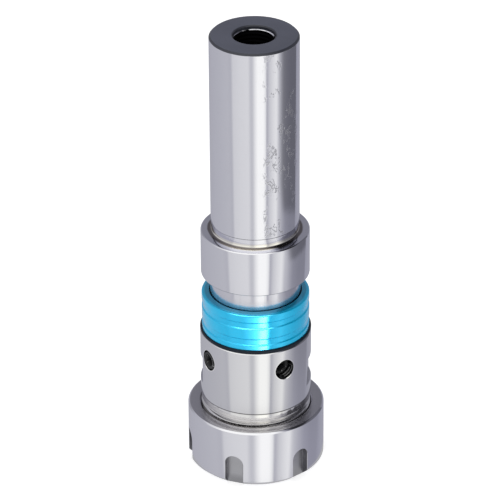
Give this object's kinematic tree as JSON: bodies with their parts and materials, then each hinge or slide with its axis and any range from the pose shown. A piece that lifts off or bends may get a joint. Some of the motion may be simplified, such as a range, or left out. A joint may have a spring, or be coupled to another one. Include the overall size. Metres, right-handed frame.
{
  "type": "floating tapping chuck",
  "caption": "Tension and compression tapping chuck with a plain round shank, a blue cover sleeve over its float, side set screws and a slotted collet nut.",
  "frame": {"origin": "on the axis, in the plane of the clamping nut's foot", "axes": "+Z along the axis from the nut to the shank's end, +X out of one wrench flat"},
  "size_m": [0.05, 0.05, 0.1719],
  "materials": {
    "ground_steel": "ground bright, fine lines round the axis",
    "turned_steel": "fine turned and ground",
    "nut_steel": "satin, ground outside",
    "blue_anodised": "bright blue anodised",
    "black_rubber": "black nitrile rubber",
    "bronze": "plain bearing bronze",
    "cage_brass": "turned brass",
    "ball_steel": "polished bearing steel",
    "spring_steel": "oiled spring wire",
    "hard_washer": "hardened and ground",
    "black_oxide": "black oxide, oiled"
  },
  "bodies": {
    "shank": {"shank_body": "ground_steel", "front_guide_bush": "bronze", "bush_circlip": "black_oxide", "compression_spring": "spring_steel", "compression_spring_seat": "hard_washer", "tension_spring": "spring_steel", "tension_spring_seat": "hard_washer"},
    "chuck_head": {"chuck_body": "turned_steel", "cover_sleeve": "blue_anodised", "body_o_ring": "black_rubber", "wiper_seal": "black_rubber", "spindle_guide_collar": "turned_steel", "bolt_washer": "hard_washer", "limit_bolt": "black_oxide"},
    "ball_guide": {"ball_cage": "cage_brass", "torque_balls": "ball_steel"},
    "thrust_ring": {"nut_thrust_ring": "turned_steel"},
    "clamping_nut": {"clamping_nut": "nut_steel"},
    "set_screw_left": {"set_screw_left": "black_oxide"},
    "set_screw_right": {"set_screw_right": "black_oxide"},
    "set_screw_back_left": {"set_screw_back_left": "black_oxide"},
    "set_screw_back_right": {"set_screw_back_right": "black_oxide"}
  },
  "joints": [
    {"name": "axial_float", "type": "slide", "parent": "shank", "child": "chuck_head", "axis": [0, 0, 1], "range_m": [-0.007, 0.007], "stiffness_N_per_m": 16400, "deforming": ["compression_spring", "tension_spring"]},
    {"name": "ball_roll", "type": "slide", "parent": "shank", "child": "ball_guide", "axis": [0, 0, 1], "range_m": [-0.0035, 0.0035]},
    {"name": "nut_travel", "type": "slide", "parent": "chuck_head", "child": "thrust_ring", "axis": [0, 0, -1], "range_m": [0, 0.012]},
    {"name": "nut_turn", "type": "hinge", "parent": "thrust_ring", "child": "clamping_nut", "pos_m": [0, 0, 0], "axis": [0, 0, -1], "range_deg": [0, 2880]},
    {"name": "set_screw_left_feed", "type": "slide", "parent": "chuck_head", "child": "set_screw_left", "axis": [0.8141, 0.5807, 0], "range_m": [-0.00035, 0.0066]},
    {"name": "set_screw_right_feed", "type": "slide", "parent": "chuck_head", "child": "set_screw_right", "axis": [-0.5807, 0.8141, 0], "range_m": [-0.00295, 0.004]},
    {"name": "set_screw_back_left_feed", "type": "slide", "parent": "chuck_head", "child": "set_screw_back_left", "axis": [0.5807, -0.8141, 0], "range_m": [-0.00155, 0.0054]},
    {"name": "set_screw_back_right_feed", "type": "slide", "parent": "chuck_head", "child": "set_screw_back_right", "axis": [-0.8141, -0.5807, 0], "range_m": [-0.00105, 0.0059]}
  ],
  "couplings": [
    {"joint": "ball_roll", "follows": "axial_float", "ratio": 0.5},
    {"joint": "nut_travel", "follows": "nut_turn", "m_per_rad": 0.00023873}
  ]
}
